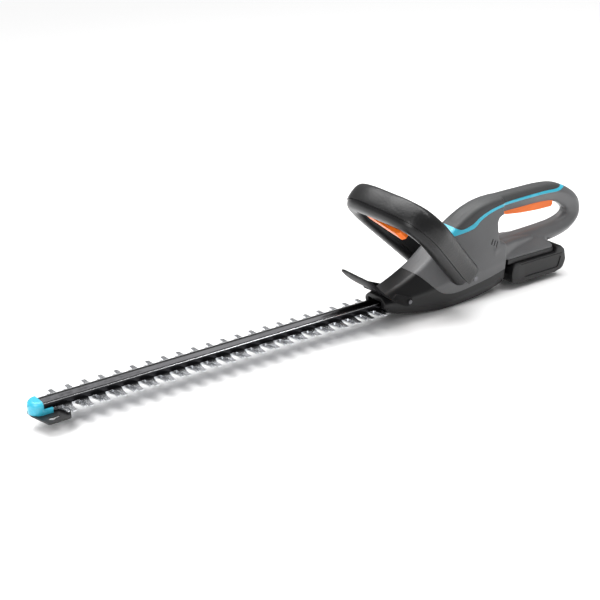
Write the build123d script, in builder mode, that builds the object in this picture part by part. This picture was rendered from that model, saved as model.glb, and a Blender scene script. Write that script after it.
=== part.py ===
"""Cordless hedge trimmer with a two-blade cutter bar, a D handle and a front loop handle.

Frame: X runs along the tool (blade tip at -X, rear handle at +X), Z is up, millimetres.
The origin is under the middle of the tool, on the surface that its belly rests on.
"""
from build123d import *
import math
import os

os.makedirs("parts", exist_ok=True)

# ---------------------------------------------------------------- driving dimensions
TIP_X = -550.0            # foremost point of the tip protector
TAIL_X = 550.0            # rearmost point of the D handle
WALL = 2.6                # moulded casing wall
GAP = 0.3                 # clearance between separate curved mouldings

# cutter bar
TOOTH_PITCH = 27.0
TOOTH_COUNT = 22
FIRST_TOOTH_X = -497.0
LONG_TOOTH_Y = 40.4       # tip of the long blunt teeth
SHORT_TOOTH_Y = 33.0      # tip of the short cutting teeth
BLADE_HALF = 15.0         # half width of the blade strips
BLADE_T = 2.0
BLADE_Z = 28.0            # plane where the two blades meet
BLADE_GAP = 0.1           # each blade stands this far off that plane
STROKE = 13.5             # full stroke of each blade
REST_SHIFT = 3.4          # at rest each blade stands this far from mid-stroke
COVER_HALF = 13.5
COVER_TOP = 40.5
COVER_BOTTOM = BLADE_Z + BLADE_GAP + BLADE_T + 0.2
COVER_FRONT_X = -525.0
BAR_REAR_X = 124.0
SUPPORT_T = 2.5
SUPPORT_TOP = BLADE_Z - BLADE_GAP - BLADE_T - 0.2
BAR_SCREW_X = [-470.0 + 105.0 * n for n in range(6)]
BAR_SCREW_R = 2.2

# drive
CRANK_X = 160.0
ECCENTRIC = STROKE / 2
CAM_R = 10.5
SHAFT_R = 3.0
RUNNING = 0.05            # radial clearance of a running fit
GEAR_TEETH = 60
PINION_TEETH = 10
MODULE = 1.0
MOTOR_X = CRANK_X + MODULE * (GEAR_TEETH + PINION_TEETH) / 2 + 0.2
GEAR_Z0 = 34.0
GEAR_Z1 = 42.0
PLATE_Z0 = 44.0
PLATE_Z1 = 48.0
BASE_Z0 = 18.0
BASE_Z1 = 22.0
YOKE_HALF_X = ECCENTRIC + CAM_R + ECCENTRIC + 0.5
YOKE_HALF_Y = ECCENTRIC + CAM_R + 0.4

# D handle
HANDLE_WIDTH = 39.0       # width of the D handle's bars, along Y
HANDLE_DEEP = 33.0        # depth of the bars, in the plane of the D
HANDLE_ROUND = 14.0       # rounding of their edges
OPENING_FRONT_X = 331.0   # front wall of the finger opening
OPENING_BOTTOM = 91.5
OPENING_TOP = 140.0

# front loop handle, drawn on a plane that leans towards the tip
LOOP_FOOT = (239.0, 65.0)     # X and Z of the loop's base line
LOOP_LEAN = 44.5              # degrees of the loop's plane above the floor
LOOP_REAR_W = 20.0            # rear face, square to the loop's plane
LOOP_FRONT_W = -30.0          # front face
LOOP_HALF_W = 19.0            # half width in the loop's plane

# battery
BATTERY_HALF = 37.5
RAIL_Z = 58.0             # underside of the battery foot


def save(part, name):
    """Label a finished piece and write it as its own STEP file."""
    part.label = name
    export_step(part, f"parts/{name}.step")


# ---------------------------------------------------------------- casing form
# The body is a hull that rises from the nose into the neck of the D handle.
# Each rib: X, base Z, widest Z, top Z, half widths at base, widest line and top.
BODY_RIBS = [
    (78, 24, 36, 50, 23, 27, 14),
    (100, 17, 36, 58.5, 26, 31, 17),
    (130, 10.5, 37, 69.5, 29, 35, 19),
    (165, 5, 40, 86, 31, 38, 21),
    (200, 0.0, 44, 112, 32, 39, 21),
    (238, 0.0, 46, 140, 32, 39, 20),
    (275, 2.4, 47, 160, 32, 38, 19),
    (310, 6.5, 48, 169, 31, 37, 19),
    (346, 14, 50, 171, 29, 34, 19),
]


def body_hull(inset):
    """The hull of the body, drawn in by inset on all sides."""
    with BuildPart() as hull:
        last = len(BODY_RIBS) - 1
        for number, rib in enumerate(BODY_RIBS):
            x, z_base, z_wide, z_top, half_base, half_wide, half_top = rib
            if number == 0:
                x = x + inset * 1.6
            if number == last:
                x = x - inset
            z_base = z_base + inset
            z_top = z_top - inset
            half_base = half_base - inset
            half_wide = half_wide - inset
            half_top = half_top - inset
            with BuildSketch(Plane.YZ.offset(x)):
                with BuildLine():
                    Polyline(
                        (-half_base, z_base),
                        (half_base, z_base),
                        (half_wide, z_wide),
                        (half_top, z_top),
                        (-half_top, z_top),
                        (-half_wide, z_wide),
                        close=True,
                    )
                rib_face = make_face()
                fillet(rib_face.vertices(), radius=7.5 - inset)
        loft()
    return hull.part


def d_ring(inset):
    """The closed bar of the D handle, drawn in by inset on all sides."""
    with BuildPart() as ring:
        with BuildLine(Plane.XZ) as centre:
            Spline(
                (246, 106),
                (250, 127),
                (274, 143.5),
                (306, 152.5),
                (345, 156),
                (400, 156.5),
                (447, 156),
                (482, 151.5),
                (509, 139),
                (529, 122),
                (533, 103),
                (520, 89.5),
                (498, 82),
                (468, 78.5),
                (400, 76),
                (330, 75),
                (266, 82),
                periodic=True,
            )
        start = centre.line @ 0
        with BuildSketch(Plane(origin=start, x_dir=(0, 1, 0), z_dir=centre.line % 0)):
            RectangleRounded(
                HANDLE_WIDTH - 2 * inset,
                HANDLE_DEEP - 2 * inset,
                HANDLE_ROUND - inset,
            )
        sweep()
    return ring.part


def casing_form(inset):
    """Hull and D handle in one, without the finger opening, drawn in by inset."""
    hull = body_hull(inset)
    ring = d_ring(inset)
    opening_x = OPENING_FRONT_X - inset
    with BuildPart() as form:
        add(hull)
        with BuildSketch(Plane.XZ):
            with Locations((opening_x + 50, (OPENING_BOTTOM + OPENING_TOP) / 2)):
                RectangleRounded(100, OPENING_TOP - OPENING_BOTTOM + 2 * inset, 14)
        extrude(amount=60, both=True, mode=Mode.SUBTRACT)
        add(ring)
        with BuildSketch(Plane.XY.offset(-20)):
            with Locations((TAIL_X - inset + 10, 0)):
                Rectangle(20, 200)
        extrude(amount=300, mode=Mode.SUBTRACT)
        with BuildSketch(Plane.XY.offset(inset)):
            Rectangle(2000, 200)
        extrude(amount=-20, mode=Mode.SUBTRACT)
    return form.part


def flank_y(x, z):
    """Half width of the hull's outer flank at a place on its side."""
    ribs = [rib for rib in BODY_RIBS if rib[0] <= x]
    front = ribs[-1]
    rear = BODY_RIBS[min(len(ribs), len(BODY_RIBS) - 1)]
    share = (x - front[0]) / max(rear[0] - front[0], 1)
    rib = [one + share * (two - one) for one, two in zip(front, rear)]
    rise = (z - rib[2]) / (rib[3] - rib[2])
    return rib[5] + rise * (rib[6] - rib[5])



# ---------------------------------------------------------------- casing blank
# The grey and black shells are moulded to one outer form.
CASING_SCREWS = [(160, 66), (236, 112), (306, 124), (328, 64), (420, 76), (530, 107), (503, 142)]
BOSS_R = 4.2
SCREW_R = 1.7
SCREW_HEAD_R = 3.4
SCREW_HEAD_T = 2.4

casing_outer = casing_form(0)
casing_inner = casing_form(WALL)
hull_clear = body_hull(-GAP)

with BuildPart() as foot_flare:
    with BuildSketch(Plane.XY.offset(RAIL_Z)):
        with Locations((407, 0)):
            RectangleRounded(118, 66, 9)
    with BuildSketch(Plane.XY.offset(82)):
        with Locations((400, 0)):
            RectangleRounded(100, 30, 9)
    loft()

with BuildPart() as casing_screws:
    for screw_x, screw_z in CASING_SCREWS:
        side_y = HANDLE_WIDTH / 2 if screw_x > 346 else flank_y(screw_x, screw_z)
        head_y = side_y - 1.2
        with BuildSketch(Plane.XZ.offset(-head_y)):
            with Locations((screw_x, screw_z)):
                Circle(SCREW_HEAD_R)
        extrude(amount=SCREW_HEAD_T)
        with BuildSketch(Plane.XZ.offset(-head_y)):
            with Locations((screw_x, screw_z)):
                Circle(SCREW_R)
        extrude(amount=head_y + 10)

with BuildPart() as screw_wells:
    for screw_x, screw_z in CASING_SCREWS:
        side_y = HANDLE_WIDTH / 2 if screw_x > 346 else flank_y(screw_x, screw_z)
        with BuildSketch(Plane.XZ.offset(-side_y - 6)):
            with Locations((screw_x, screw_z)):
                Circle(SCREW_HEAD_R)
        extrude(amount=7.2)

with BuildPart() as bosses:
    with BuildSketch(Plane.XZ):
        with Locations(*CASING_SCREWS):
            Circle(BOSS_R)
    extrude(amount=60, both=True)
    add(casing_inner, mode=Mode.INTERSECT)

with BuildPart() as casing:
    add(casing_outer)
    add(foot_flare.part)
    add(casing_inner, mode=Mode.SUBTRACT)
    add(bosses.part)
    add(casing_screws.part, mode=Mode.SUBTRACT)
    add(screw_wells.part, mode=Mode.SUBTRACT)
    # mouth of the nose, for the bar and the blade strips
    with BuildSketch(Plane.YZ.offset(70)):
        with Locations((0, 32)):
            Rectangle(35, 20)
    extrude(amount=20, mode=Mode.SUBTRACT)
    # slit for the rearmost teeth
    with BuildSketch(Plane.YZ.offset(70)):
        with Locations((0, 28)):
            Rectangle(90, 7)
    extrude(amount=16, mode=Mode.SUBTRACT)
    # slot for the trigger in the underside of the upper bar
    with BuildSketch(Plane.XY.offset(132)):
        with Locations((414, 0)):
            Rectangle(136, 21.4)
    extrude(amount=20, mode=Mode.SUBTRACT)
    # cooling slits at the lower front corner of the finger opening
    with BuildSketch(Plane.XZ):
        with Locations((313, 100), (318.5, 97), (324, 94)):
            SlotOverall(13, 2.4, rotation=62)
    extrude(amount=60, both=True, mode=Mode.SUBTRACT)

# ---------------------------------------------------------------- parting lines
with BuildPart() as upper_region:
    with BuildSketch(Plane.XZ):
        with BuildLine():
            seam = Spline(
                (138, 84),
                (151, 75),
                (164, 63),
                (178, 49),
                (192, 38.5),
                (209, 32),
                (230, 30),
                (260, 32.5),
                (290, 36),
                (320, 40.5),
                (348, 45),
            )
            Polyline(seam @ 1, (600, 45), (600, 300), (138, 300), seam @ 0)
        make_face()
    extrude(amount=80, both=True)


def grip_region(front, lift):
    """Region of the grip insert, or with a lower line, of insert and trim together."""
    with BuildPart() as region:
        with BuildSketch(Plane.XZ):
            with BuildLine():
                edge = Spline(
                    (front, 138 - 2 * lift),
                    (front + 14, 134 - 1.6 * lift),
                    (272, 139 - 1.6 * lift),
                    (292, 149 - 1.3 * lift),
                    (320, 157 - lift),
                    (360, 161.5 - lift),
                    (440, 163 - lift),
                    (480, 161.5 - lift),
                    (498 + 1.5 * lift, 166 - lift),
                )
                Polyline(edge @ 1, (499 + 2 * lift, 200), (front - 4, 200), edge @ 0)
            make_face()
        extrude(amount=60, both=True)
    return region.part


insert_region = grip_region(236, 0)
trim_region = grip_region(214, 5)

# ---------------------------------------------------------------- casing shells
for shell_name, kept in (("housing_right", Keep.TOP), ("housing_left", Keep.BOTTOM)):
    with BuildPart() as housing:
        add(casing.part)
        add(upper_region.part, mode=Mode.INTERSECT)
        add(trim_region, mode=Mode.SUBTRACT)
        split(bisect_by=Plane.XZ, keep=kept)
    save(housing.part, shell_name)

with BuildPart() as lower_shell:
    add(casing.part)
    add(upper_region.part, mode=Mode.SUBTRACT)
save(lower_shell.part, "lower_shell")

with BuildPart() as grip_insert:
    add(casing.part)
    add(insert_region, mode=Mode.INTERSECT)
save(grip_insert.part, "grip_insert")

with BuildPart() as trim_ring:
    add(casing.part)
    add(trim_region, mode=Mode.INTERSECT)
    add(insert_region, mode=Mode.SUBTRACT)
save(trim_ring.part, "trim_ring")

save(casing_screws.part, "casing_screws")

# ---------------------------------------------------------------- front loop handle
LEAN = math.radians(LOOP_LEAN)
LOOP_PLANE = Plane(
    origin=(LOOP_FOOT[0], 0, LOOP_FOOT[1]),
    x_dir=(0, 1, 0),
    z_dir=(math.sin(LEAN), 0, math.cos(LEAN)),
)
LOOP_WALL = 3.0
LOOP_ROUND = 14.0
LOOP_SIDE = [(-51, -4), (-58, 35), (-68, 80), (-79, 125), (-84, 158), (-74, 187), (-42, 198)]
LOOP_TOP_V = 199.0
LEVER_INNER_V = 168.0         # inner face of the switch lever, up the loop's plane
LEVER_OUTER_V = 187.0
LEVER_ROOM_HALF_U = 57.0
LEVER_ROOM_TOP_V = 193.0      # leaves the lever its travel
LEVER_ROOM_REAR_W = -10.0


def loop_form(inset):
    """The loop handle's bar, drawn in by inset on its sides."""
    with BuildPart() as bar:
        with BuildLine(LOOP_PLANE) as centre:
            mirrored = [(-u, v) for u, v in LOOP_SIDE[::-1]]
            Spline(*LOOP_SIDE, (0, LOOP_TOP_V), *mirrored)
        start = centre.line @ 0
        with BuildSketch(Plane(origin=start, x_dir=LOOP_PLANE.z_dir, z_dir=centre.line % 0)):
            with Locations(((LOOP_REAR_W + LOOP_FRONT_W) / 2, 0)):
                RectangleRounded(
                    LOOP_REAR_W - LOOP_FRONT_W - 2 * inset,
                    2 * (LOOP_HALF_W - inset),
                    LOOP_ROUND - inset,
                )
        sweep()
    return bar.part


with BuildPart() as handle_screws:
    for side in (-1, 1):
        with BuildSketch(Plane.XZ.offset(side * 26)):
            with Locations((244, 60)):
                Circle(2.2)
        extrude(amount=side * 37)
        with BuildSketch(Plane.XZ.offset(side * 63)):
            with Locations((244, 60)):
                Circle(4.2)
        extrude(amount=side * 3)

with BuildPart() as handle_screw_wells:
    for side in (-1, 1):
        with BuildSketch(Plane.XZ.offset(side * 66)):
            with Locations((244, 60)):
                Circle(4.2)
        extrude(amount=side * 12)

loop_outer = loop_form(0)
loop_inner = loop_form(LOOP_WALL)

with BuildPart() as loop_blank:
    add(loop_outer)
    with BuildSketch(LOOP_PLANE.offset(-30)):
        with Locations((0, 150)):
            Rectangle(300, 294)
    loop_hollow = extrude(amount=60, mode=Mode.PRIVATE)
    add(loop_inner & loop_hollow, mode=Mode.SUBTRACT)
    add(hull_clear, mode=Mode.SUBTRACT)
    # room for the switch lever at the front of the top bar's inner side
    with BuildSketch(LOOP_PLANE.offset(LEVER_ROOM_REAR_W)):
        with Locations((0, LEVER_ROOM_TOP_V - 20)):
            Rectangle(2 * LEVER_ROOM_HALF_U, 40)
    extrude(amount=-40, mode=Mode.SUBTRACT)
    add(handle_screws.part, mode=Mode.SUBTRACT)
    add(handle_screw_wells.part, mode=Mode.SUBTRACT)

with BuildPart() as front_handle_rear_shell:
    add(loop_blank.part)
    split(bisect_by=LOOP_PLANE, keep=Keep.TOP)
save(front_handle_rear_shell.part, "front_handle_rear_shell")

with BuildPart() as front_handle_front_shell:
    add(loop_blank.part)
    split(bisect_by=LOOP_PLANE, keep=Keep.BOTTOM)
save(front_handle_front_shell.part, "front_handle_front_shell")

save(handle_screws.part, "handle_screws")

# switch lever, a wedge that is squeezed up into the top bar
LEVER_PLANE = Plane(
    origin=LOOP_PLANE.from_local_coords((0, LEVER_INNER_V, 0)),
    x_dir=(0, 1, 0),
    z_dir=LOOP_PLANE.y_dir,
)
with BuildPart() as front_switch_lever:
    with BuildSketch(LEVER_PLANE):
        with BuildLine():
            FilletPolyline(
                (-52, 13),
                (-52, 31),
                (-46, 36),
                (50, 24),
                (50, 15),
                radius=2.5,
                close=True,
            )
        make_face()
    extrude(amount=LEVER_OUTER_V - LEVER_INNER_V)
save(front_switch_lever.part, "front_switch_lever")

with BuildPart() as front_microswitch:
    with BuildSketch(LOOP_PLANE.offset(-24)):
        with Locations((0, 199)):
            Rectangle(20, 10)
    extrude(amount=10)
save(front_microswitch.part, "front_microswitch")

# ---------------------------------------------------------------- hand guard
GUARD_T = 3.0
GUARD_LEAN = math.radians(46)
GUARD_PLANE = Plane(
    origin=(86, 0, 54),
    x_dir=(0, 1, 0),
    z_dir=(math.sin(GUARD_LEAN), 0, math.cos(GUARD_LEAN)),
)
GUARD_SCREW = (122, 39)

with BuildPart() as hand_guard:
    with BuildSketch(GUARD_PLANE):
        with BuildLine():
            FilletPolyline(
                (-37.8, -14),
                (37.8, -14),
                (47, 12),
                (44, 58),
                (-44, 58),
                (-47, 12),
                radius=8,
                close=True,
            )
        make_face()
    extrude(amount=GUARD_T)
    for side in (-1, 1):
        with BuildSketch(Plane.XZ.offset(side * 34.9)):
            with BuildLine():
                FilletPolyline(
                    (82, 50), (93, 59), (127, 45), (129, 33), (116, 32), (96, 42), radius=3, close=True
                )
            make_face()
        extrude(amount=side * 2.9)
    add(hull_clear, mode=Mode.SUBTRACT)
    with BuildSketch(Plane.XZ):
        with Locations(GUARD_SCREW):
            Circle(2.0)
    extrude(amount=60, both=True, mode=Mode.SUBTRACT)
save(hand_guard.part, "hand_guard")

with BuildPart() as guard_screws:
    for side in (-1, 1):
        with BuildSketch(Plane.XZ.offset(side * 37.9)):
            with Locations(GUARD_SCREW):
                Circle(3.6)
        extrude(amount=side * 2.2)
        with BuildSketch(Plane.XZ.offset(side * 24)):
            with Locations(GUARD_SCREW):
                Circle(1.9)
        extrude(amount=side * 14)
save(guard_screws.part, "guard_screws")

# ---------------------------------------------------------------- cutter blades
def blade(name, shift, z_low, tooth_y, base_half, tip_half, cam_slot_shift):
    """A double-sided blade strip with its yoke; shift moves it along the bar."""
    first_x = FIRST_TOOTH_X + shift
    tooth_middle = FIRST_TOOTH_X + TOOTH_PITCH * (TOOTH_COUNT - 1) / 2 + shift
    with BuildPart() as strip:
        with BuildSketch(Plane.XY.offset(z_low)):
            strip_front = first_x - 22
            strip_length = CRANK_X - strip_front
            with Locations(((strip_front + CRANK_X) / 2, 0)):
                Rectangle(strip_length, 2 * BLADE_HALF)
            with BuildLine(mode=Mode.PRIVATE) as tooth_line:
                Polyline(
                    (-base_half, 0),
                    (base_half, 0),
                    (tip_half, tooth_y - 2),
                    (tip_half * 0.6, tooth_y),
                    (-tip_half * 0.6, tooth_y),
                    (-tip_half, tooth_y - 2),
                    close=True,
                )
            tooth = make_face(tooth_line.line.edges(), mode=Mode.PRIVATE)
            with GridLocations(TOOTH_PITCH, 0, TOOTH_COUNT, 1) as places:
                centres = [(place.position.X + tooth_middle, 0) for place in places]
            with Locations(*centres):
                add(tooth)
                add(tooth, rotation=180)
            with Locations((CRANK_X + cam_slot_shift, 0)):
                RectangleRounded(2 * YOKE_HALF_X + 12, 2 * YOKE_HALF_Y + 11, 5)
                RectangleRounded(2 * YOKE_HALF_X, 2 * YOKE_HALF_Y, 4, mode=Mode.SUBTRACT)
            slot_centres = [(x + cam_slot_shift, 0) for x in BAR_SCREW_X]
            with Locations(*slot_centres):
                SlotOverall(STROKE + 2 * BAR_SCREW_R + 1.2, 5.2, mode=Mode.SUBTRACT)
        extrude(amount=BLADE_T)
    save(strip.part, name)
    return strip.part


blade("upper_blade", 0, BLADE_Z + BLADE_GAP, LONG_TOOTH_Y, 7.0, 3.8, REST_SHIFT)
blade(
    "lower_blade",
    -2 * REST_SHIFT,
    BLADE_Z - BLADE_GAP - BLADE_T,
    SHORT_TOOTH_Y,
    6.5,
    2.6,
    -REST_SHIFT,
)

# ---------------------------------------------------------------- cutter bar
with BuildPart() as blade_cover:
    with BuildSketch(Plane.YZ.offset(COVER_FRONT_X)):
        with BuildLine():
            shoulder_z = COVER_TOP - 3.2
            Polyline(
                (-COVER_HALF, shoulder_z - 2.5),
                (-COVER_HALF, COVER_BOTTOM),
                (COVER_HALF, COVER_BOTTOM),
                (COVER_HALF, shoulder_z - 2.5),
            )
            Spline(
                (COVER_HALF, shoulder_z - 2.5),
                (COVER_HALF - 2.6, shoulder_z + 1.4),
                (0, COVER_TOP),
                (-COVER_HALF + 2.6, shoulder_z + 1.4),
                (-COVER_HALF, shoulder_z - 2.5),
                tangents=[(0, 1), (0, -1)],
            )
        make_face()
    extrude(amount=BAR_REAR_X - COVER_FRONT_X)
    with BuildSketch(Plane.XY.offset(COVER_BOTTOM)):
        with Locations(*[(x, 0) for x in BAR_SCREW_X]):
            Circle(BAR_SCREW_R)
    extrude(amount=6.5, mode=Mode.SUBTRACT)
save(blade_cover.part, "blade_cover")

with BuildPart() as blade_support_bar:
    with BuildSketch(Plane.XY.offset(SUPPORT_TOP - SUPPORT_T)):
        with Locations(((COVER_FRONT_X + 6 + BAR_REAR_X) / 2, 0)):
            RectangleRounded(BAR_REAR_X - COVER_FRONT_X - 6, 22, 2)
        with Locations(*[(x, 0) for x in BAR_SCREW_X]):
            Circle(BAR_SCREW_R, mode=Mode.SUBTRACT)
    extrude(amount=SUPPORT_T)
save(blade_support_bar.part, "blade_support_bar")

with BuildPart() as bar_screws:
    with BuildSketch(Plane.XY.offset(SUPPORT_TOP - SUPPORT_T)):
        with Locations(*[(x, 0) for x in BAR_SCREW_X]):
            Circle(BAR_SCREW_R)
    extrude(amount=COVER_BOTTOM + 6.3 - SUPPORT_TOP + SUPPORT_T)
    with BuildSketch(Plane.XY.offset(SUPPORT_TOP - SUPPORT_T)):
        with Locations(*[(x, 0) for x in BAR_SCREW_X]):
            Circle(4.0)
    extrude(amount=-2.4)
    with BuildSketch(Plane.XY.offset(SUPPORT_TOP - SUPPORT_T - 2.4)):
        with Locations(*[(x, 0) for x in BAR_SCREW_X]):
            RegularPolygon(radius=1.8, side_count=6)
    extrude(amount=1.4, mode=Mode.SUBTRACT)
save(bar_screws.part, "bar_screws")

# ---------------------------------------------------------------- tip protector
PLATE_TOP = SUPPORT_TOP - SUPPORT_T
TIP_PLATE_T = 2.6
with BuildPart() as tip_protector:
    with BuildSketch(Plane.XY.offset(PLATE_TOP)):
        with BuildLine():
            nose = ThreePointArc((-536, -16.5), (TIP_X, 0), (-536, 16.5))
            Polyline(nose @ 1, (-519, 16.5), (-519, -16.5), nose @ 0)
        make_face()
    extrude(amount=COVER_TOP + 1.8 - PLATE_TOP)
    fillet(tip_protector.faces().sort_by(Axis.Z)[-1].edges().sort_by(Axis.X)[:-1], radius=7)
    # socket for the end of the cover, and room for the two blades' travel
    add(blade_cover.part, mode=Mode.SUBTRACT)
    with BuildSketch(Plane.XY.offset(PLATE_TOP)):
        with Locations((-522, 0)):
            Rectangle(26, 31.4)
    extrude(amount=COVER_BOTTOM - PLATE_TOP, mode=Mode.SUBTRACT)
    with BuildSketch(Plane.YZ.offset(COVER_FRONT_X)):
        with Locations((0, COVER_TOP - 5)):
            Circle(1.7)
    extrude(amount=-40, mode=Mode.SUBTRACT)
save(tip_protector.part, "tip_protector")

with BuildPart() as tip_screw:
    with BuildSketch(Plane.YZ.offset(-546)):
        with Locations((0, COVER_TOP - 5)):
            Circle(1.7)
    extrude(amount=546 + COVER_FRONT_X - 0.2)
save(tip_screw.part, "tip_screw")

with BuildPart() as tip_plate:
    with BuildSketch(Plane.XY.offset(PLATE_TOP - TIP_PLATE_T)):
        with BuildLine():
            FilletPolyline(
                (TIP_X + 1, 12),
                (TIP_X + 1, -6),
                (-539, -43.5),
                (-504, -42.5),
                (-493, -16),
                (-488, 12),
                radius=[5, 6, 5, 6, 4, 4],
                close=True,
            )
        make_face()
        with Locations((-523, -30)):
            SlotOverall(16, 6, rotation=10, mode=Mode.SUBTRACT)
        with Locations((-529, -31)):
            Circle(5, mode=Mode.SUBTRACT)
    extrude(amount=TIP_PLATE_T)
save(tip_plate.part, "tip_plate")

# ---------------------------------------------------------------- gearbox frame
FRAME_FRONT_X = 112.0
FRAME_REAR_X = 206.0
PILLARS = [(118, -18.5), (118, 18.5), (201, -14), (201, 14)]
PILLAR_R = 3.0
BUSH_R = 5.5


def frame_plate(z_low, z_high, half_y, motor_hole):
    """A flat plate of the gearbox frame with its bush seat."""
    with BuildPart() as plate:
        with BuildSketch(Plane.XY.offset(z_low)):
            with Locations(((FRAME_FRONT_X + FRAME_REAR_X) / 2, 0)):
                RectangleRounded(FRAME_REAR_X - FRAME_FRONT_X, 2 * half_y, 4)
            if motor_hole:
                with Locations((MOTOR_X, 0)):
                    Circle(17.5)
                    Circle(7, mode=Mode.SUBTRACT)
            with Locations((CRANK_X, 0)):
                Circle(BUSH_R, mode=Mode.SUBTRACT)
        extrude(amount=z_high - z_low)
    return plate.part


save(frame_plate(BASE_Z0, BASE_Z1, 22, False), "gearbox_base")
save(frame_plate(PLATE_Z0, PLATE_Z1, 22, True), "gearbox_plate")

with BuildPart() as gearbox_pillars:
    with BuildSketch(Plane.XY.offset(BASE_Z1)):
        with Locations(*PILLARS):
            Circle(PILLAR_R)
    extrude(amount=PLATE_Z0 - BASE_Z1)
save(gearbox_pillars.part, "gearbox_pillars")

with BuildPart() as bar_spacers:
    for z_low, z_high in ((BASE_Z1, SUPPORT_TOP - SUPPORT_T), (COVER_TOP - 0.02, PLATE_Z0)):
        with BuildSketch(Plane.XY.offset(z_low)):
            with Locations((118, 0)):
                Rectangle(10, 16)
        extrude(amount=z_high - z_low)
    add(blade_cover.part, mode=Mode.SUBTRACT)
save(bar_spacers.part, "bar_spacers")

for bush_name, bush_z0, bush_z1 in (
    ("lower_bush", BASE_Z0, BASE_Z1),
    ("upper_bush", PLATE_Z0, PLATE_Z1),
):
    with BuildPart() as bush:
        with BuildSketch(Plane.XY.offset(bush_z0)):
            with Locations((CRANK_X, 0)):
                Circle(BUSH_R)
                Circle(SHAFT_R + RUNNING, mode=Mode.SUBTRACT)
        extrude(amount=bush_z1 - bush_z0)
    save(bush.part, bush_name)

# ---------------------------------------------------------------- crank
with BuildPart() as crank_shaft:
    with BuildSketch(Plane.XY.offset(BASE_Z0 + 0.5)):
        with Locations((CRANK_X, 0)):
            Circle(SHAFT_R)
    extrude(amount=PLATE_Z1 - BASE_Z0 - 1)
save(crank_shaft.part, "crank_shaft")


def spur_gear(name, centre_x, teeth, z_low, z_high, bore_r, turn):
    """A straight-toothed gear; turn is the angle of its first tooth."""
    pitch_r = MODULE * teeth / 2
    with BuildPart() as gear:
        with BuildSketch(Plane.XY.offset(z_low)):
            with Locations((centre_x, 0)):
                Circle(pitch_r - 1.15 * MODULE)
            with Locations((centre_x, 0)):
                with PolarLocations(0, teeth, start_angle=turn):
                    with BuildLine(mode=Mode.PRIVATE) as flank:
                        Polyline(
                            (pitch_r - 1.3 * MODULE, -0.82 * MODULE),
                            (pitch_r, -0.62 * MODULE),
                            (pitch_r + 0.85 * MODULE, -0.26 * MODULE),
                            (pitch_r + 0.85 * MODULE, 0.26 * MODULE),
                            (pitch_r, 0.62 * MODULE),
                            (pitch_r - 1.3 * MODULE, 0.82 * MODULE),
                            close=True,
                        )
                    add(make_face(flank.line.edges(), mode=Mode.PRIVATE))
            with Locations((centre_x, 0)):
                Circle(bore_r, mode=Mode.SUBTRACT)
        extrude(amount=z_high - z_low)
    save(gear.part, name)


spur_gear("drive_gear", CRANK_X, GEAR_TEETH, GEAR_Z0, GEAR_Z1, SHAFT_R, 360 / GEAR_TEETH / 2)
spur_gear("motor_pinion", MOTOR_X, PINION_TEETH, GEAR_Z0 + 0.5, GEAR_Z1 - 0.5, 1.6, 180)

for cam_name, cam_turn, cam_z0, cam_z1 in (
    ("lower_cam", 240, SUPPORT_TOP - 0.6, BLADE_Z - BLADE_GAP),
    ("upper_cam", 60, BLADE_Z + BLADE_GAP, GEAR_Z0 - 0.2),
):
    cam_x = CRANK_X + ECCENTRIC * math.cos(math.radians(cam_turn))
    cam_y = ECCENTRIC * math.sin(math.radians(cam_turn))
    with BuildPart() as cam:
        with BuildSketch(Plane.XY.offset(cam_z0)):
            with Locations((cam_x, cam_y)):
                Circle(CAM_R)
            with Locations((CRANK_X, 0)):
                Circle(SHAFT_R, mode=Mode.SUBTRACT)
        extrude(amount=cam_z1 - cam_z0)
    save(cam.part, cam_name)

# ---------------------------------------------------------------- motor
MOTOR_R = 17.5
MOTOR_TOP = 89.0
MOTOR_SHAFT_R = 1.6
with BuildPart() as motor_can:
    with BuildSketch(Plane.XY.offset(PLATE_Z1)):
        with Locations((MOTOR_X, 0)):
            Circle(MOTOR_R)
    extrude(amount=MOTOR_TOP - PLATE_Z1)
    fillet(motor_can.edges().sort_by(Axis.Z)[-1], radius=3)
    with BuildSketch(Plane.XY.offset(PLATE_Z1 + 1.5)):
        with Locations((MOTOR_X, 0)):
            Circle(MOTOR_R - 1.5)
    extrude(amount=MOTOR_TOP - PLATE_Z1 - 4, mode=Mode.SUBTRACT)
    with BuildSketch(Plane.XY.offset(PLATE_Z1)):
        with Locations((MOTOR_X, 0)):
            Circle(MOTOR_SHAFT_R + RUNNING)
    extrude(amount=5, mode=Mode.SUBTRACT)
save(motor_can.part, "motor_can")

with BuildPart() as motor_magnets:
    with BuildSketch(Plane.XY.offset(PLATE_Z1 + 6)):
        with Locations((MOTOR_X, 0)):
            Circle(MOTOR_R - 1.6)
            Circle(MOTOR_R - 4, mode=Mode.SUBTRACT)
            Rectangle(9, 50, mode=Mode.SUBTRACT)
    extrude(amount=26)
save(motor_magnets.part, "motor_magnets")

with BuildPart() as motor_rotor:
    with BuildSketch(Plane.XY.offset(PLATE_Z1 + 5)):
        with Locations((MOTOR_X, 0)):
            Circle(MOTOR_R - 4.6)
            with PolarLocations(MOTOR_R - 5.4, 5):
                Rectangle(5, 2, mode=Mode.SUBTRACT)
    extrude(amount=27)
    with BuildSketch(Plane.XY.offset(PLATE_Z1 + 32)):
        with Locations((MOTOR_X, 0)):
            Circle(4.5)
    extrude(amount=5)
    # bore for the shaft
    with BuildSketch(Plane.XY.offset(PLATE_Z1)):
        with Locations((MOTOR_X, 0)):
            Circle(MOTOR_SHAFT_R)
    extrude(amount=40, mode=Mode.SUBTRACT)
save(motor_rotor.part, "motor_rotor")

with BuildPart() as motor_shaft:
    with BuildSketch(Plane.XY.offset(GEAR_Z0 + 0.2)):
        with Locations((MOTOR_X, 0)):
            Circle(MOTOR_SHAFT_R)
    extrude(amount=MOTOR_TOP - GEAR_Z0 - 3)
save(motor_shaft.part, "motor_shaft")

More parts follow.
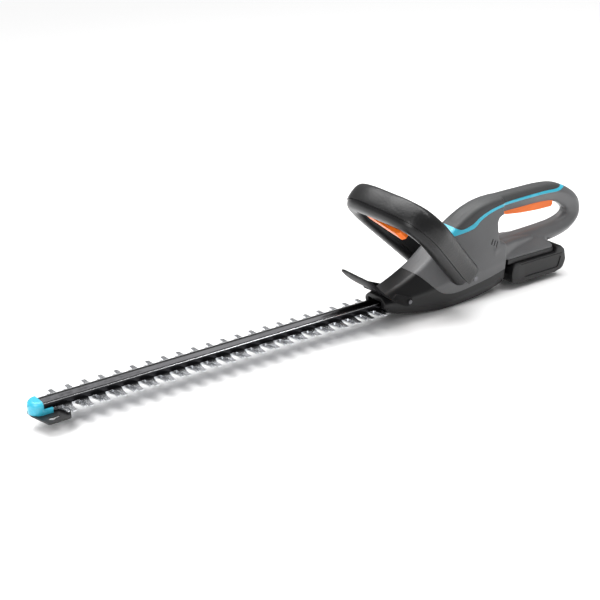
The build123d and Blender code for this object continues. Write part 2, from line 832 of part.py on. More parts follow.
# ---------------------------------------------------------------- switches and board
with BuildPart() as circuit_board:
    with BuildSketch(Plane.XZ.offset(-4)):
        with Locations((272, 58)):
            Rectangle(64, 42)
    extrude(amount=-1.6)
save(circuit_board.part, "circuit_board")

with BuildPart() as board_parts:
    with BuildSketch(Plane.XZ.offset(-5.6)):
        with Locations((255, 50), (255, 66)):
            Rectangle(14, 11)
        with Locations((285, 58)):
            Circle(6)
        with Locations((272, 74)):
            Rectangle(20, 5)
    extrude(amount=-8)
save(board_parts.part, "board_parts")

TRIGGER_PIVOT = (357.0, 148.0)
with BuildPart() as rear_trigger:
    with BuildSketch(Plane.XZ):
        with BuildLine():
            FilletPolyline(
                (351, 150),
                (351, 139),
                (362, 134.5),
                (400, 130),
                (440, 127.5),
                (474, 127),
                (477, 131),
                (478, 146.5),
                (440, 146.5),
                (370, 150.5),
                radius=2,
                close=True,
            )
        make_face()
    extrude(amount=9.6, both=True)
    with BuildSketch(Plane.XZ):
        with Locations(TRIGGER_PIVOT):
            Circle(2 + RUNNING)
    extrude(amount=30, both=True, mode=Mode.SUBTRACT)
save(rear_trigger.part, "rear_trigger")

with BuildPart() as trigger_pin:
    with BuildSketch(Plane.XZ):
        with Locations(TRIGGER_PIVOT):
            Circle(2)
    extrude(amount=13.5, both=True)
save(trigger_pin.part, "trigger_pin")

with BuildPart() as rear_microswitch:
    with BuildSketch(Plane.XZ):
        with Locations((434, 161)):
            Rectangle(26, 9)
    extrude(amount=6, both=True)
save(rear_microswitch.part, "rear_microswitch")

with BuildPart() as trigger_spring:
    with BuildSketch(Plane.XY.offset(152.4)):
        with Locations((390, 0)):
            Circle(3)
            Circle(2.2, mode=Mode.SUBTRACT)
    extrude(amount=10.8)
save(trigger_spring.part, "trigger_spring")

# ---------------------------------------------------------------- battery mount
BAY_FRONT_X = 350.0
BAY_REAR_X = 464.0
with BuildPart() as battery_rails:
    for side in (-1, 1):
        with BuildSketch(Plane.YZ.offset(BAY_FRONT_X + 3)):
            with BuildLine():
                Polyline(
                    (side * 31.5, RAIL_Z),
                    (side * 31.5, 49.6),
                    (side * 24.2, 49.6),
                    (side * 24.2, 52.8),
                    (side * 27.2, 52.8),
                    (side * 27.2, RAIL_Z),
                    close=True,
                )
            make_face()
        extrude(amount=BAY_REAR_X - BAY_FRONT_X - 3)
save(battery_rails.part, "battery_rails")

TERMINAL_Y = (-10, 0, 10)
with BuildPart() as terminal_block:
    with BuildSketch(Plane.XY.offset(49.5)):
        with Locations((354.5, 0)):
            Rectangle(9, 38)
    extrude(amount=RAIL_Z - 49.5)
    with BuildSketch(Plane.XY.offset(49.5)):
        with Locations(*[(354.5, y) for y in TERMINAL_Y]):
            Rectangle(9, 1, mode=Mode.ADD)
    extrude(amount=1, mode=Mode.SUBTRACT)
save(terminal_block.part, "terminal_block")

with BuildPart() as tool_terminals:
    with BuildSketch(Plane.XY.offset(51)):
        with Locations(*[(367, y) for y in TERMINAL_Y]):
            Rectangle(15.9, 1)
    extrude(amount=4.5)
save(tool_terminals.part, "tool_terminals")

# ---------------------------------------------------------------- battery
with BuildPart() as battery_case:
    with BuildSketch(Plane.XZ):
        with BuildLine():
            FilletPolyline(
                (363, 13),
                (374, 10),
                (468, 10),
                (487, 14.5),
                (494, 30),
                (489, 52),
                (480, 60),
                (468.5, 60),
                (465.5, 49),
                (372, 49),
                (363, 46),
                (358.5, 30),
                radius=4,
                close=True,
            )
        make_face()
    extrude(amount=BATTERY_HALF, both=True)
    fillet(battery_case.faces().sort_by(Axis.Y)[0].edges(), radius=3.5)
    fillet(battery_case.faces().sort_by(Axis.Y)[-1].edges(), radius=3.5)
    # tongue that hooks into the rails
    with BuildSketch(Plane.YZ.offset(362)):
        with BuildLine():
            Polyline(
                (-23.7, 45),
                (23.7, 45),
                (23.7, 53.3),
                (26.7, 53.3),
                (26.7, 57.4),
                (-26.7, 57.4),
                (-26.7, 53.3),
                (-23.7, 53.3),
                close=True,
            )
        make_face()
    extrude(amount=108)
    # room for the cells and the contacts
    with BuildSketch(Plane.XY.offset(14)):
        with Locations((423, 0)):
            RectangleRounded(116, 69, 4)
    extrude(amount=32, mode=Mode.SUBTRACT)
    with BuildSketch(Plane.XY.offset(50)):
        with Locations((371, 0)):
            Rectangle(24, 32)
    extrude(amount=8, mode=Mode.SUBTRACT)
    # seat of the release button
    with BuildSketch(Plane.YZ.offset(484)):
        with Locations((0, 44)):
            RectangleRounded(30.8, 12.8, 3)
    extrude(amount=20, mode=Mode.SUBTRACT)
save(battery_case.part, "battery_case")

CELL_R = 9.2
with BuildPart() as battery_cells:
    with BuildSketch(Plane.XZ):
        with Locations(*[(381 + 20.5 * n, 24) for n in range(5)]):
            Circle(CELL_R)
    extrude(amount=32.5, both=True)
save(battery_cells.part, "battery_cells")

with BuildPart() as battery_board:
    with BuildSketch(Plane.XY.offset(38)):
        with Locations((415, 0)):
            Rectangle(86, 50)
    extrude(amount=1.6)
save(battery_board.part, "battery_board")

with BuildPart() as battery_contacts:
    for y in TERMINAL_Y:
        with BuildSketch(Plane.XY.offset(50)):
            with Locations((375.5, y - 1.3), (375.5, y + 1.3)):
                Rectangle(11, 0.8)
        extrude(amount=6.5)
save(battery_contacts.part, "battery_contacts")

with BuildPart() as release_button:
    with BuildSketch(Plane.YZ.offset(487.5)):
        with Locations((0, 44)):
            RectangleRounded(30, 12, 3)
    extrude(amount=5.5)
    fillet(release_button.faces().sort_by(Axis.X)[-1].edges(), radius=1.2)
save(release_button.part, "release_button")
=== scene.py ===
import math

import bmesh
import bpy
import numpy as np
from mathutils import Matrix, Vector


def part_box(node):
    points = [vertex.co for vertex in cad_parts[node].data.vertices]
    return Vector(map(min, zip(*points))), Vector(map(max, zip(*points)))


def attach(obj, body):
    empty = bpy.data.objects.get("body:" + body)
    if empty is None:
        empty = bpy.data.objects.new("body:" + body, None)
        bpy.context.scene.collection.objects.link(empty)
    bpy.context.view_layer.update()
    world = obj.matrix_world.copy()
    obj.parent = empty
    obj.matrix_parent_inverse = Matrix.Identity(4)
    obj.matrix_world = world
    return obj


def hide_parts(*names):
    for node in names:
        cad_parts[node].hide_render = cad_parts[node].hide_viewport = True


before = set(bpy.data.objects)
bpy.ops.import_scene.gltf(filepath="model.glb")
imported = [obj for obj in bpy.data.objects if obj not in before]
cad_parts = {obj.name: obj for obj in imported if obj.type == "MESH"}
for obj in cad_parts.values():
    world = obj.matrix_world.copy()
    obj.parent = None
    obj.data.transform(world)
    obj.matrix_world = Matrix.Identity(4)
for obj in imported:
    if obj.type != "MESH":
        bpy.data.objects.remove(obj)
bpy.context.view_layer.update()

# ---------------------------------------------------------------- studio
# A pale floor under the belly, an even soft light from above, and three softboxes that draw
# the highlights: one behind the tool, one on the left, and one along the cover's shoulder.
scene = bpy.context.scene
scene.view_settings.view_transform = "Standard"
MM = 0.001

camera_data = bpy.data.cameras.new("camera")
LENS_MM = 80
SENSOR_MM = 36
camera_data.lens = LENS_MM
camera_data.sensor_width = SENSOR_MM
camera = bpy.data.objects.new("camera", camera_data)
scene.collection.objects.link(camera)
scene.camera = camera
PITCH = math.radians(23.07)
HEADING = math.radians(36.14)
sight = Vector((
    math.cos(PITCH) * math.sin(HEADING),
    math.cos(PITCH) * math.cos(HEADING),
    -math.sin(PITCH),
))
camera.location = (-1.2240, -1.5725, 0.9083)
camera.rotation_euler = sight.to_track_quat("-Z", "Y").to_euler()

world = bpy.data.worlds.new("studio")
scene.world = world
world.use_nodes = True
backdrop = world.node_tree.nodes["Background"]
backdrop.inputs["Color"].default_value = (1, 1, 1, 1)
# the backdrop is seen white, but it fills the shadows less than that
seen = world.node_tree.nodes.new("ShaderNodeLightPath")
fill = world.node_tree.nodes.new("ShaderNodeMapRange")
fill.inputs["To Min"].default_value = 0.30
world.node_tree.links.new(seen.outputs["Is Camera Ray"], fill.inputs["Value"])
world.node_tree.links.new(fill.outputs["Result"], backdrop.inputs["Strength"])


def soft_light(name, place, aim, size, power):
    """A rectangular softbox that faces a point."""
    data = bpy.data.lights.new(name, "AREA")
    data.shape = "RECTANGLE"
    data.size, data.size_y = size
    data.energy = power
    lamp = bpy.data.objects.new(name, data)
    scene.collection.objects.link(lamp)
    lamp.location = place
    lamp.rotation_euler = (Vector(aim) - Vector(place)).to_track_quat("-Z", "Y").to_euler()


soft_light("overhead", (0.2, 0.9, 1.3), (0.1, 0, 0), (1.8, 0.5), 16)
soft_light("left_key", (-1.5, -0.5, 0.9), (0.2, 0, 0.08), (0.7, 0.9), 12)
soft_light("shoulder_strip", (0.82, -0.30, 1.6), (0.80, -0.30, 0), (1.5, 0.42), 15)
sun_data = bpy.data.lights.new("even_light", "SUN")
sun_data.energy = 2.3
sun_data.angle = math.radians(50)
sun = bpy.data.objects.new("even_light", sun_data)
scene.collection.objects.link(sun)
sun.rotation_euler = (math.radians(-12), math.radians(-8), 0)

FLOOR_HALF = 12.0
FLOOR_DROP = 0.0004    # keeps the floor clear of the belly
floor_mesh = bpy.data.meshes.new("floor")
floor_mesh.from_pydata(
    [(x * FLOOR_HALF, y * FLOOR_HALF, -FLOOR_DROP) for x, y in ((-1, -1), (1, -1), (1, 1), (-1, 1))],
    [],
    [(0, 1, 2, 3)],
)
floor = bpy.data.objects.new("floor", floor_mesh)
scene.collection.objects.link(floor)
floor_material = bpy.data.materials.new("floor")
floor_material.use_nodes = True
floor_shader = floor_material.node_tree.nodes["Principled BSDF"]
floor_shader.inputs["Base Color"].default_value = (0.93, 0.93, 0.93, 1)
floor_shader.inputs["Roughness"].default_value = 0.9
floor_mesh.materials.append(floor_material)

# ---------------------------------------------------------------- casing
# Two grey halves, a black lower shell, a soft insert on the grip and a turquoise band round
# it. They are injection moulded to one outer form, 2.6 mm thick, and meet at fine joints.


def curve_through(points, steps, closed=False):
    """Points on a smooth curve that passes through the given points."""
    points = np.array(points, float)
    count = len(points)
    if closed:
        padded = np.vstack([points[-1:], points, points[:2]])
        spans = count
    else:
        padded = np.vstack([2 * points[0] - points[1], points, 2 * points[-1] - points[-2]])
        spans = count - 1
    made = []
    for span in range(spans):
        before, start, end, after = padded[span:span + 4]
        for t in np.arange(steps) / steps:
            made.append(
                0.5 * (2 * start + (end - before) * t
                       + (2 * before - 5 * start + 4 * end - after) * t ** 2
                       + (3 * start - before - 3 * end + after) * t ** 3)
            )
    if not closed:
        made.append(points[-1])
    return np.array(made)


def rounded_outline(corners, radii, steps=6):
    """A closed outline with its corners rounded."""
    corners = [Vector(c) for c in corners]
    made = []
    for number, corner in enumerate(corners):
        back = (corners[number - 1] - corner)
        on = (corners[(number + 1) % len(corners)] - corner)
        turn = back.angle(on)
        reach = min(radii[number] / math.tan(turn / 2), back.length * 0.49, on.length * 0.49)
        first = corner + back.normalized() * reach
        last = corner + on.normalized() * reach
        for step in range(steps + 1):
            t = step / steps
            made.append(first * (1 - t) ** 2 + corner * 2 * t * (1 - t) + last * t ** 2)
    return made


def mesh_piece(name, points, faces):
    """A mesh object from points in millimetres, with outward faces."""
    mesh = bpy.data.meshes.new(name)
    mesh.from_pydata([tuple(float(c) * MM for c in p) for p in points], [], faces)
    shape = bmesh.new()
    shape.from_mesh(mesh)
    bmesh.ops.recalc_face_normals(shape, faces=shape.faces)
    shape.to_mesh(mesh)
    shape.free()
    piece = bpy.data.objects.new(name, mesh)
    scene.collection.objects.link(piece)
    return piece


def lofted(name, rings, closed=False):
    """A skin over a row of outlines that have the same number of points."""
    size = len(rings[0])
    points = [p for ring in rings for p in ring]
    faces = []
    rows = len(rings) if closed else len(rings) - 1
    for row in range(rows):
        here, there = row * size, (row + 1) % len(rings) * size
        for n in range(size):
            m = (n + 1) % size
            faces.append((here + n, here + m, there + m, there + n))
    if not closed:
        faces.append(tuple(range(size)))
        faces.append(tuple(range(len(points) - size, len(points))))
    return mesh_piece(name, points, faces)


def prism(name, outline, place, along):
    """A straight solid; place turns an outline point into space and along is its length."""
    near = [Vector(place(*p)) for p in outline]
    far = [p + Vector(along) for p in near]
    return lofted(name, [near, far])


def side_prism(name, outline, half=80.0, middle=0.0):
    """A solid drawn on the tool's side view and run across it."""
    return prism(name, outline, lambda x, z: (x, middle - half, z), (0, 2 * half, 0))


def apply_modifiers(piece):
    """Replaces a piece's mesh by its modified one."""
    graph = bpy.context.evaluated_depsgraph_get()
    made = bpy.data.meshes.new_from_object(piece.evaluated_get(graph))
    piece.modifiers.clear()
    piece.data = made
    return piece


def carve(piece, tool, operation="DIFFERENCE", keep_tool=False):
    """Cuts a piece with a tool solid, or keeps what they share."""
    boolean = piece.modifiers.new("cut", "BOOLEAN")
    boolean.solver = "MANIFOLD"
    boolean.operation = operation
    boolean.object = tool
    apply_modifiers(piece)
    if not keep_tool:
        bpy.data.objects.remove(tool)
    return piece


def copy_of(piece, name):
    """A separate copy of a piece."""
    twin = piece.copy()
    twin.data = piece.data.copy()
    twin.name = name
    scene.collection.objects.link(twin)
    return twin


def joined(name, pieces, flipped=()):
    """One mesh of several; those in flipped are turned inside out."""
    both = bmesh.new()
    for piece in pieces:
        part = bmesh.new()
        part.from_mesh(piece.data)
        if piece in flipped:
            bmesh.ops.reverse_faces(part, faces=part.faces)
        held = bpy.data.meshes.new("held")
        part.to_mesh(held)
        part.free()
        both.from_mesh(held)
        bpy.data.meshes.remove(held)
    mesh = bpy.data.meshes.new(name)
    both.to_mesh(mesh)
    both.free()
    for piece in pieces:
        bpy.data.objects.remove(piece)
    made = bpy.data.objects.new(name, mesh)
    scene.collection.objects.link(made)
    return made


def melted(piece, voxel, rounds):
    """Runs a piece's forms into one skin and softens the joins."""
    remesh = piece.modifiers.new("melt", "REMESH")
    remesh.mode = "VOXEL"
    remesh.voxel_size = voxel * MM
    soften = piece.modifiers.new("soften", "SMOOTH")
    soften.factor = 0.5
    soften.iterations = rounds
    return apply_modifiers(piece)


def smooth_faces(piece, crease=38):
    """Smooth shading that breaks at edges sharper than the crease angle."""
    shape = bmesh.new()
    shape.from_mesh(piece.data)
    bmesh.ops.dissolve_degenerate(shape, dist=1e-6, edges=shape.edges)
    for face in shape.faces:
        face.smooth = True
    limit = math.radians(crease)
    for edge in shape.edges:
        edge.smooth = len(edge.link_faces) != 2 or edge.calc_face_angle(0) < limit
    shape.to_mesh(piece.data)
    shape.free()
    return piece


# X, base Z, crease Z, widest Z, top Z, then half widths at base, crease, widest and top
HULL_RIBS = [
    (78, 24, 36, 41, 50, 20, 26.6, 26.8, 14),
    (100, 17, 31, 42, 58.5, 22, 30.2, 31, 17),
    (130, 10.5, 25.5, 44, 69.5, 24, 33.8, 35, 19),
    (165, 5, 20.5, 46, 86, 26, 36.4, 38, 21),
    (200, 0, 18, 50, 112, 27, 37.2, 39, 21),
    (238, 0, 19, 52, 140, 27, 37.2, 39, 20),
    (275, 2.4, 21.5, 54, 160, 27, 36.4, 38, 19),
    (310, 6.5, 24, 56, 169, 26, 35.2, 37, 19),
    (346, 14, 28, 58, 171, 24, 32, 34, 19),
]


def hull_outline(rib):
    """The outline across the hull at one rib."""
    x, z_base, z_crease, z_wide, z_top, base, crease, wide, top = rib
    right = [(base, z_base), (crease, z_crease), (wide, z_wide), (top, z_top)]
    corners = [(y, z) for y, z in right] + [(-y, z) for y, z in right[::-1]]
    radii = [6, 0.8, 16, 9, 9, 16, 0.8, 6]
    return [(x, y, max(z, 0)) for y, z in rounded_outline(corners, radii)]


hull = lofted("hull", [hull_outline(rib) for rib in curve_through(HULL_RIBS, 6)])
finger_room = side_prism(
    "finger_room",
    rounded_outline([(331, 91.5), (431, 91.5), (431, 140), (331, 140)], [14] * 4),
)
carve(hull, finger_room)

RING_CENTRE = [
    (246, 106), (250, 127), (274, 143.5), (306, 152.5), (345, 156), (400, 156.5), (447, 156),
    (482, 151.5), (509, 139), (529, 122), (533, 103), (520, 89.5), (498, 82), (468, 78.5),
    (400, 76), (330, 75), (266, 82),
]
ring_line = curve_through(RING_CENTRE, 8, closed=True)
# across the bar: outward in the plane of the D, and sideways; the side has a soft ridge
RING_CORNERS = [(-16.5, -10.5), (3, -19.6), (16.5, -11), (16.5, 11), (3, 19.6), (-16.5, 10.5)]
ring_outline = rounded_outline(RING_CORNERS, [8, 7, 10, 10, 7, 8])
ring_rings = []
for number in range(len(ring_line)):
    ahead = ring_line[(number + 1) % len(ring_line)] - ring_line[number - 1]
    ahead = ahead / np.linalg.norm(ahead)
    outward = np.array([-ahead[1], ahead[0]])
    here = ring_line[number]
    ring_rings.append([
        (here[0] + outward[0] * p[0], p[1], here[1] + outward[1] * p[0]) for p in ring_outline
    ])
ring = lofted("ring", ring_rings, closed=True)


def flat_rounded(middle_x, half_x, half_y, z, radius):
    """A level rounded rectangle."""
    corners = [
        (middle_x - half_x, -half_y), (middle_x + half_x, -half_y),
        (middle_x + half_x, half_y), (middle_x - half_x, half_y),
    ]
    return [(x, y, z) for x, y in rounded_outline(corners, [radius] * 4)]


flare = lofted("flare", [
    flat_rounded(407, 59, 33, 58, 9),
    flat_rounded(406, 58, 31.5, 64, 9),
    flat_rounded(402, 52, 23, 73, 9),
    flat_rounded(400, 50, 15, 82, 9),
])
# the hull's rear runs down into the lower bar of the D
blend_rings = []
for x, half, low, high in ((318, 34, 58, 90), (350, 29, 58, 90), (380, 23, 60, 90), (424, 18, 64, 87)):
    corners = rounded_outline([(-half, low), (half, low), (half, high), (-half, high)], [8] * 4)
    blend_rings.append([(x, y, z) for y, z in corners])
blend = lofted("blend", blend_rings)
OUTER_VOXEL = 1.5
INNER_VOXEL = 2.4
WALL = 2.6
outer = melted(joined("outer", [hull, ring, flare, blend]), OUTER_VOXEL, 13)
inner = copy_of(outer, "inner")
thin = inner.modifiers.new("thin", "DISPLACE")
thin.mid_level = 0
thin.strength = -WALL * MM
apply_modifiers(inner)
melted(inner, INNER_VOXEL, 4)
casing = joined("casing", [outer, inner], flipped=[inner])

CASING_SCREWS = [(160, 66), (236, 112), (306, 124), (328, 64), (420, 76), (530, 107), (503, 142)]
screw_points = [v.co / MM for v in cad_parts["casing_screws"].data.vertices]
cutters = [
    # mouth of the nose and the slit for the rearmost teeth
    side_prism("mouth", [(60, 22), (90, 22), (90, 42), (60, 42)], 17.5),
    side_prism("slit", [(60, 24.5), (86, 24.5), (86, 31.5), (60, 31.5)], 45),
    # slot for the trigger
    side_prism("trigger_slot", [(346, 128), (482, 128), (482, 152), (346, 152)], 10.7),
]
VENT_HALF_LENGTH = 5.5
VENT_HALF_WIDTH = 1.2
VENT_LEAN = math.radians(62)
for slit_x, slit_z in ((313, 100), (318.5, 97), (324, 94)):
    run = Vector((math.cos(VENT_LEAN), math.sin(VENT_LEAN))) * VENT_HALF_LENGTH
    wide = Vector((-math.sin(VENT_LEAN), math.cos(VENT_LEAN))) * VENT_HALF_WIDTH
    spot = Vector((slit_x, slit_z))
    corners = [spot - run - wide, spot + run - wide, spot + run + wide, spot - run + wide]
    cutters.append(side_prism("vent", rounded_outline(corners, [1.1] * 4, 4), 30, -30))
WELL_R = 3.6
WELL_STEPS = 32
for screw_x, screw_z in CASING_SCREWS:
    near = [p for p in screw_points if math.hypot(p.x - screw_x, p.z - screw_z) < 5]
    head_y = max(p.y for p in near)
    turns = [n * math.tau / WELL_STEPS for n in range(WELL_STEPS)]
    round_hole = [(screw_x + WELL_R * math.cos(a), screw_z + WELL_R * math.sin(a)) for a in turns]
    cutters.append(side_prism("well", round_hole, 6, head_y + 5.2))
for cutter in cutters:
    carve(casing, cutter)

SEAM = [
    (138, 84), (151, 75), (164, 63), (178, 49), (192, 38.5), (209, 32), (230, 30), (260, 32.5),
    (290, 36), (320, 40.5), (348, 45),
]
JOINT_GAP = 0.25


def upper_solid(drop):
    """Everything above the seam between grey and black."""
    line = [(x, z + drop) for x, z in curve_through(SEAM, 6)]
    start_x = line[0][0]
    outline = [*line, (600, 45 + drop), (600, 300), (start_x, 300)]
    return side_prism("upper_solid", outline)


def grip_solid(front, lift):
    """The top of the grip above the insert's lower line, or above the band's."""
    line = curve_through([
        (front, 138 - 2 * lift), (front + 14, 134 - 1.6 * lift), (272, 139 - 1.6 * lift),
        (292, 149 - 1.3 * lift), (320, 157 - lift), (360, 161.5 - lift), (440, 163 - lift),
        (480, 161.5 - lift), (498 + 1.5 * lift, 166 - lift),
    ], 8)
    outline = [*[tuple(p) for p in line], (499 + 2 * lift, 200), (front - 4, 200)]
    return side_prism("grip_solid", outline)


BAND = 5.0
lower_skin = carve(copy_of(casing, "lower_shell_skin"), upper_solid(-JOINT_GAP))
insert_skin = carve(copy_of(casing, "grip_insert_skin"), grip_solid(236, 0), "INTERSECT")
trim_skin = carve(copy_of(casing, "trim_band_skin"), grip_solid(214, BAND), "INTERSECT")
carve(trim_skin, grip_solid(236, JOINT_GAP * 0.6))
grey = carve(casing, upper_solid(0), "INTERSECT")
carve(grey, grip_solid(214, BAND + JOINT_GAP * 0.6))
halves = []
for half_name, side in (("housing_right_skin", -1), ("housing_left_skin", 1)):
    half = copy_of(grey, half_name)
    # 0.05 mm each side of the middle is the joint between the halves
    room = side_prism("half", [(0, -20), (600, -20), (600, 300), (0, 300)], 50, side * 50.05)
    carve(half, room, "INTERSECT")
    halves.append(half)
bpy.data.objects.remove(grey)


def group_sockets(group, inputs, outputs):
    """Gives a shader group its named inputs, with defaults, and its outputs."""
    for name, default in inputs:
        socket = group.interface.new_socket(name, in_out="INPUT", socket_type="NodeSocketFloat")
        socket.default_value = default
    for name, kind in outputs:
        group.interface.new_socket(name, in_out="OUTPUT", socket_type=kind)
    return group.nodes.new("NodeGroupInput"), group.nodes.new("NodeGroupOutput")


def moulded_grain_group():
    """Spark-eroded mould texture: a fine grain, a slow tone change and pale worn edges."""
    group = bpy.data.node_groups.new("moulded_grain", "ShaderNodeTree")
    enter, leave = group_sockets(
        group,
        [("Grain Size", 900.0), ("Tone Size", 14.0), ("Wear", 0.5)],
        [("Height", "NodeSocketFloat"), ("Tone", "NodeSocketFloat"), ("Worn", "NodeSocketFloat")],
    )
    place = group.nodes.new("ShaderNodeTexCoord")
    grain = group.nodes.new("ShaderNodeTexNoise")
    grain.inputs["Detail"].default_value = 2
    group.links.new(place.outputs["Object"], grain.inputs["Vector"])
    group.links.new(enter.outputs["Grain Size"], grain.inputs["Scale"])
    group.links.new(grain.outputs["Fac"], leave.inputs["Height"])
    tone = group.nodes.new("ShaderNodeTexNoise")
    tone.inputs["Detail"].default_value = 4
    group.links.new(place.outputs["Object"], tone.inputs["Vector"])
    group.links.new(enter.outputs["Tone Size"], tone.inputs["Scale"])
    group.links.new(tone.outputs["Fac"], leave.inputs["Tone"])
    shape = group.nodes.new("ShaderNodeNewGeometry")
    edge = group.nodes.new("ShaderNodeMapRange")
    edge.inputs["From Min"].default_value = 0.52
    edge.inputs["From Max"].default_value = 0.62
    group.links.new(shape.outputs["Pointiness"], edge.inputs["Value"])
    broken = group.nodes.new("ShaderNodeMath")
    broken.operation = "MULTIPLY"
    group.links.new(edge.outputs["Result"], broken.inputs[0])
    group.links.new(tone.outputs["Fac"], broken.inputs[1])
    amount = group.nodes.new("ShaderNodeMath")
    amount.operation = "MULTIPLY"
    group.links.new(broken.outputs[0], amount.inputs[0])
    group.links.new(enter.outputs["Wear"], amount.inputs[1])
    group.links.new(amount.outputs[0], leave.inputs["Worn"])
    return group


MOULDED_GRAIN = moulded_grain_group()


def moulded_plastic(
    name, colour, roughness, grain=900.0, depth=0.06, wear=0.5, coat=0.0, spread=0.18, gloss_level=0.35
):
    """A moulded plastic in one colour, with grain, tone and worn edges."""
    material = bpy.data.materials.new(name)
    material.use_nodes = True
    tree = material.node_tree
    shader = tree.nodes["Principled BSDF"]
    effect = tree.nodes.new("ShaderNodeGroup")
    effect.node_tree = MOULDED_GRAIN
    effect.inputs["Grain Size"].default_value = grain
    effect.inputs["Wear"].default_value = wear
    tones = tree.nodes.new("ShaderNodeMix")
    tones.data_type = "RGBA"
    tones.inputs["A"].default_value = (*[c * (1 - spread) for c in colour], 1)
    tones.inputs["B"].default_value = (*[c * (1 + spread) for c in colour], 1)
    tree.links.new(effect.outputs["Tone"], tones.inputs["Factor"])
    worn = tree.nodes.new("ShaderNodeMix")
    worn.data_type = "RGBA"
    worn.inputs["B"].default_value = (*[min(1, c * 1.7 + 0.02) for c in colour], 1)
    tree.links.new(effect.outputs["Worn"], worn.inputs["Factor"])
    tree.links.new(tones.outputs["Result"], worn.inputs["A"])
    tree.links.new(worn.outputs["Result"], shader.inputs["Base Color"])
    gloss = tree.nodes.new("ShaderNodeMapRange")
    gloss.inputs["To Min"].default_value = roughness - 0.07
    gloss.inputs["To Max"].default_value = roughness + 0.07
    tree.links.new(effect.outputs["Tone"], gloss.inputs["Value"])
    tree.links.new(gloss.outputs["Result"], shader.inputs["Roughness"])
    bump = tree.nodes.new("ShaderNodeBump")
    bump.inputs["Strength"].default_value = depth
    bump.inputs["Distance"].default_value = 0.0004
    tree.links.new(effect.outputs["Height"], bump.inputs["Height"])
    tree.links.new(bump.outputs["Normal"], shader.inputs["Normal"])
    shader.inputs["Coat Weight"].default_value = coat
    shader.inputs["Specular IOR Level"].default_value = gloss_level
    return material


def dress(piece, material):
    """Gives a piece one material."""
    piece.data.materials.clear()
    piece.data.materials.append(material)
    for face in piece.data.polygons:
        face.material_index = 0


def finished(piece, body, slot, material, *nodes):
    """Shades a piece, gives it its material and lets it stand for its CAD nodes."""
    smooth_faces(piece)
    dress(piece, material)
    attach(piece, body)
    if nodes:
        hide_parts(*nodes)


grey_plastic = moulded_plastic("grey_plastic", (0.115, 0.116, 0.119), 0.34)
black_plastic = moulded_plastic("black_plastic", (0.007, 0.007, 0.0075), 0.38)
soft_grip = moulded_plastic("soft_grip", (0.050, 0.051, 0.052), 0.50, grain=420, depth=0.5)
turquoise = moulded_plastic("turquoise", (0.045, 0.44, 0.60), 0.28, depth=0.03, coat=0.3)
finished(lower_skin, "tool", "shell_black", black_plastic, "lower_shell")
finished(insert_skin, "tool", "grip_soft", soft_grip, "grip_insert")
finished(trim_skin, "tool", "trim_turquoise", turquoise, "trim_ring")
finished(halves[0], "tool", "housing_grey", grey_plastic, "housing_right")
finished(halves[1], "tool", "housing_grey", grey_plastic, "housing_left")

# ---------------------------------------------------------------- front loop handle
# Two black shells, a broad textured one behind and a smooth narrower one in front, screwed
# to the flanks. Each is moulded hollow, and both legs end in rounded lobes.
LOOP_FOOT = Vector((239.0, 0.0, 65.0))
LOOP_LEAN = math.radians(44.5)
LOOP_UP = Vector((-math.cos(LOOP_LEAN), 0, math.sin(LOOP_LEAN)))
LOOP_BACK = Vector((math.sin(LOOP_LEAN), 0, math.cos(LOOP_LEAN)))
LOOP_SIDE = [(-51, -6), (-58, 35), (-68, 80), (-79, 125), (-84, 158), (-74, 187), (-42, 198)]
LOOP_MIDDLE_W = -5.0  # middle of the bar, square to the loop's plane
LOOP_HALF_W = 25.0
LOOP_WALL = 3.0
SQUARENESS = 0.74     # 1 makes the bar an oval, less makes it squarer
LOOP_RIDGE = -17.0    # place of the ridge between the shells


def loop_place(u, v, w):
    """A place given across, up and square to the loop's plane."""
    return LOOP_FOOT + Vector((0, u, 0)) + LOOP_UP * v + LOOP_BACK * w


def loop_shell(name, half_w, half_q, from_angle, to_angle, lobe, start):
    """A hollow half of the loop's bar, swept along its line."""
    line = curve_through(LOOP_SIDE + [(0, 199)] + [(-u, v) for u, v in LOOP_SIDE[::-1]], 10)
    lengths = np.concatenate([[0], np.cumsum(np.linalg.norm(np.diff(line, axis=0), axis=1))])
    total = lengths[-1]
    ease = [start + lobe * (1 - math.cos(n * math.pi / 2 / 9)) for n in range(10)]
    middle = list(np.linspace(start + lobe, total - start - lobe, 130)[1:-1])
    places = ease + middle + [total - e for e in ease[::-1]]
    angles = np.linspace(from_angle, to_angle, 30)
    rings = []
    for place in places:
        u = np.interp(place, lengths, line[:, 0])
        v = np.interp(place, lengths, line[:, 1])
        ahead = np.array([
            np.interp(place + 2, lengths, line[:, k]) - np.interp(place - 2, lengths, line[:, k])
            for k in (0, 1)
        ])
        ahead = ahead / np.linalg.norm(ahead)
        outward = np.array([-ahead[1], ahead[0]])
        from_end = min(place, total - place) - start
        share = math.sqrt(max(0.02, 1 - (1 - min(from_end / lobe, 1)) ** 2))
        end_w, end_q = half_w * share, half_q * share
        outline = []
        for inset, sweep in ((0, angles), (LOOP_WALL, angles[::-1])):
            for angle in sweep:
                c, s = math.cos(angle), math.sin(angle)
                w = (end_w - min(inset, end_w * 0.3)) * math.copysign(abs(c) ** SQUARENESS, c)
                q = (end_q - min(inset, end_q * 0.3)) * math.copysign(abs(s) ** SQUARENESS, s)
                outline.append((w, q))
        rings.append([
            loop_place(u + outward[0] * q, v + outward[1] * q, LOOP_MIDDLE_W + w) for w, q in outline
        ])
    return lofted(name, rings)


